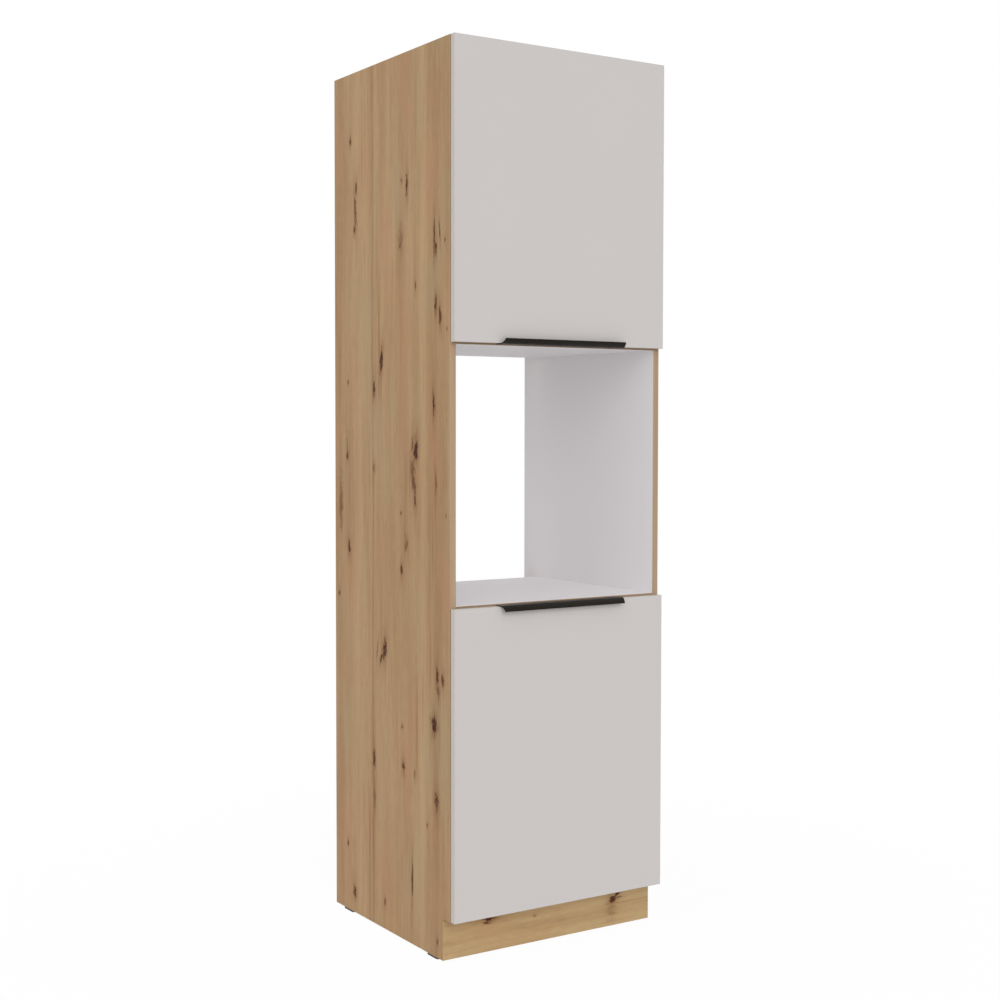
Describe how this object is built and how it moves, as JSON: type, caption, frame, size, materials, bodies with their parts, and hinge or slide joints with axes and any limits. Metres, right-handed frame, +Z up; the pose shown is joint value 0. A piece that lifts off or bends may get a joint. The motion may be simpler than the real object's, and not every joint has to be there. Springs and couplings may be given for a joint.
{
  "type": "tall oven cabinet",
  "caption": "Tall oak-look kitchen cabinet with an open niche for a built-in oven between light grey doors on concealed hinges, black edge handles and a recessed plinth.",
  "frame": {"origin": "on the floor, below the middle of the cabinet's width and of its whole depth with the handles", "axes": "+Z up, the doors look along -Y, +X to the right of someone who faces the doors"},
  "size_m": [0.6, 0.6012, 2.1125],
  "materials": {
    "oak_board": "oak-look laminate outside, white inside, matte",
    "white_board": "white laminate, matte",
    "door_board": "light grey matte laminate",
    "door_band": "light grey matte edge band",
    "oak_band": "oak-look edge band",
    "white_band": "white edge band",
    "back_board": "thin hardboard, white on the face",
    "black_metal": "matte black coat",
    "hinge_steel": "nickel-plated pressed steel",
    "screw_steel": "zinc-plated",
    "cam_zinc": "die-cast zinc",
    "black_plastic": "matte moulded",
    "white_plastic": "moulded",
    "clear_rubber": "soft translucent",
    "beech": "raw turned beech"
  },
  "bodies": {
    "carcass": {"back_panel_screws": "screw_steel", "bottom_panel": "white_board", "bottom_rear_rail": "white_board", "cam_bolts": "screw_steel", "cam_locks": "cam_zinc", "dowels": "beech", "glides": "black_plastic", "left_side_panel": "oak_board", "lower_arm_pins": "screw_steel", "lower_back_panel": "back_board", "lower_hinge_arms": "hinge_steel", "lower_mounting_plates": "hinge_steel", "lower_plate_screws": "screw_steel", "lower_shelf": "white_board", "niche_ceiling_panel": "white_board", "niche_floor_panel": "white_board", "panel_edge_bands": "oak_band", "plinth": "oak_board", "plinth_blocks": "white_plastic", "plinth_screws": "screw_steel", "right_side_panel": "oak_board", "shelf_edge_bands": "white_band", "shelf_pins": "screw_steel", "side_edge_bands": "oak_band", "top_panel": "white_board", "top_rear_rail": "white_board", "upper_arm_pins": "screw_steel", "upper_back_panel": "back_board", "upper_hinge_arms": "hinge_steel", "upper_mounting_plates": "hinge_steel", "upper_plate_screws": "screw_steel", "upper_shelf": "white_board"},
    "lower_door": {"lower_door": "door_board", "lower_door_edge_band": "door_band", "lower_handle": "black_metal", "lower_handle_screws": "black_metal", "lower_door_bumpers": "clear_rubber", "lower_hinge_cups": "hinge_steel", "lower_cup_screws": "screw_steel", "lower_cup_pins": "screw_steel"},
    "lower_links": {"lower_inner_links": "hinge_steel"},
    "lower_outer_links": {"lower_outer_links": "hinge_steel"},
    "upper_door": {"upper_door": "door_board", "upper_door_edge_band": "door_band", "upper_handle": "black_metal", "upper_handle_screws": "black_metal", "upper_door_bumpers": "clear_rubber", "upper_hinge_cups": "hinge_steel", "upper_cup_screws": "screw_steel", "upper_cup_pins": "screw_steel"},
    "upper_links": {"upper_inner_links": "hinge_steel"},
    "upper_outer_links": {"upper_outer_links": "hinge_steel"}
  },
  "joints": [
    {"name": "lower_link_turn", "type": "hinge", "parent": "carcass", "child": "lower_links", "pos_m": [0.258, -0.262, 0.4624], "axis": [0, 0, -1], "range_deg": [0, 45.04]},
    {"name": "lower_door_swing", "type": "hinge", "parent": "lower_links", "child": "lower_door", "pos_m": [0.2847, -0.2685, 0.4624], "axis": [0, 0, 1], "range_deg": [0, 140.03]},
    {"name": "lower_outer_link_turn", "type": "hinge", "parent": "carcass", "child": "lower_outer_links", "pos_m": [0.246, -0.2616, 0.4624], "axis": [0, 0, -1], "range_deg": [0, 48.46]},
    {"name": "upper_link_turn", "type": "hinge", "parent": "carcass", "child": "upper_links", "pos_m": [0.258, -0.262, 1.76935], "axis": [0, 0, -1], "range_deg": [0, 45.04]},
    {"name": "upper_door_swing", "type": "hinge", "parent": "upper_links", "child": "upper_door", "pos_m": [0.2847, -0.2685, 1.76935], "axis": [0, 0, 1], "range_deg": [0, 140.03]},
    {"name": "upper_outer_link_turn", "type": "hinge", "parent": "carcass", "child": "upper_outer_links", "pos_m": [0.246, -0.2616, 1.76935], "axis": [0, 0, -1], "range_deg": [0, 48.46]}
  ],
  "couplings": [
    {"joint": "lower_link_turn", "follows": "lower_door_swing", "ratio": 0.32157},
    {"joint": "lower_outer_link_turn", "follows": "lower_door_swing", "ratio": 0.346},
    {"joint": "upper_link_turn", "follows": "upper_door_swing", "ratio": 0.32157},
    {"joint": "upper_outer_link_turn", "follows": "upper_door_swing", "ratio": 0.346}
  ]
}
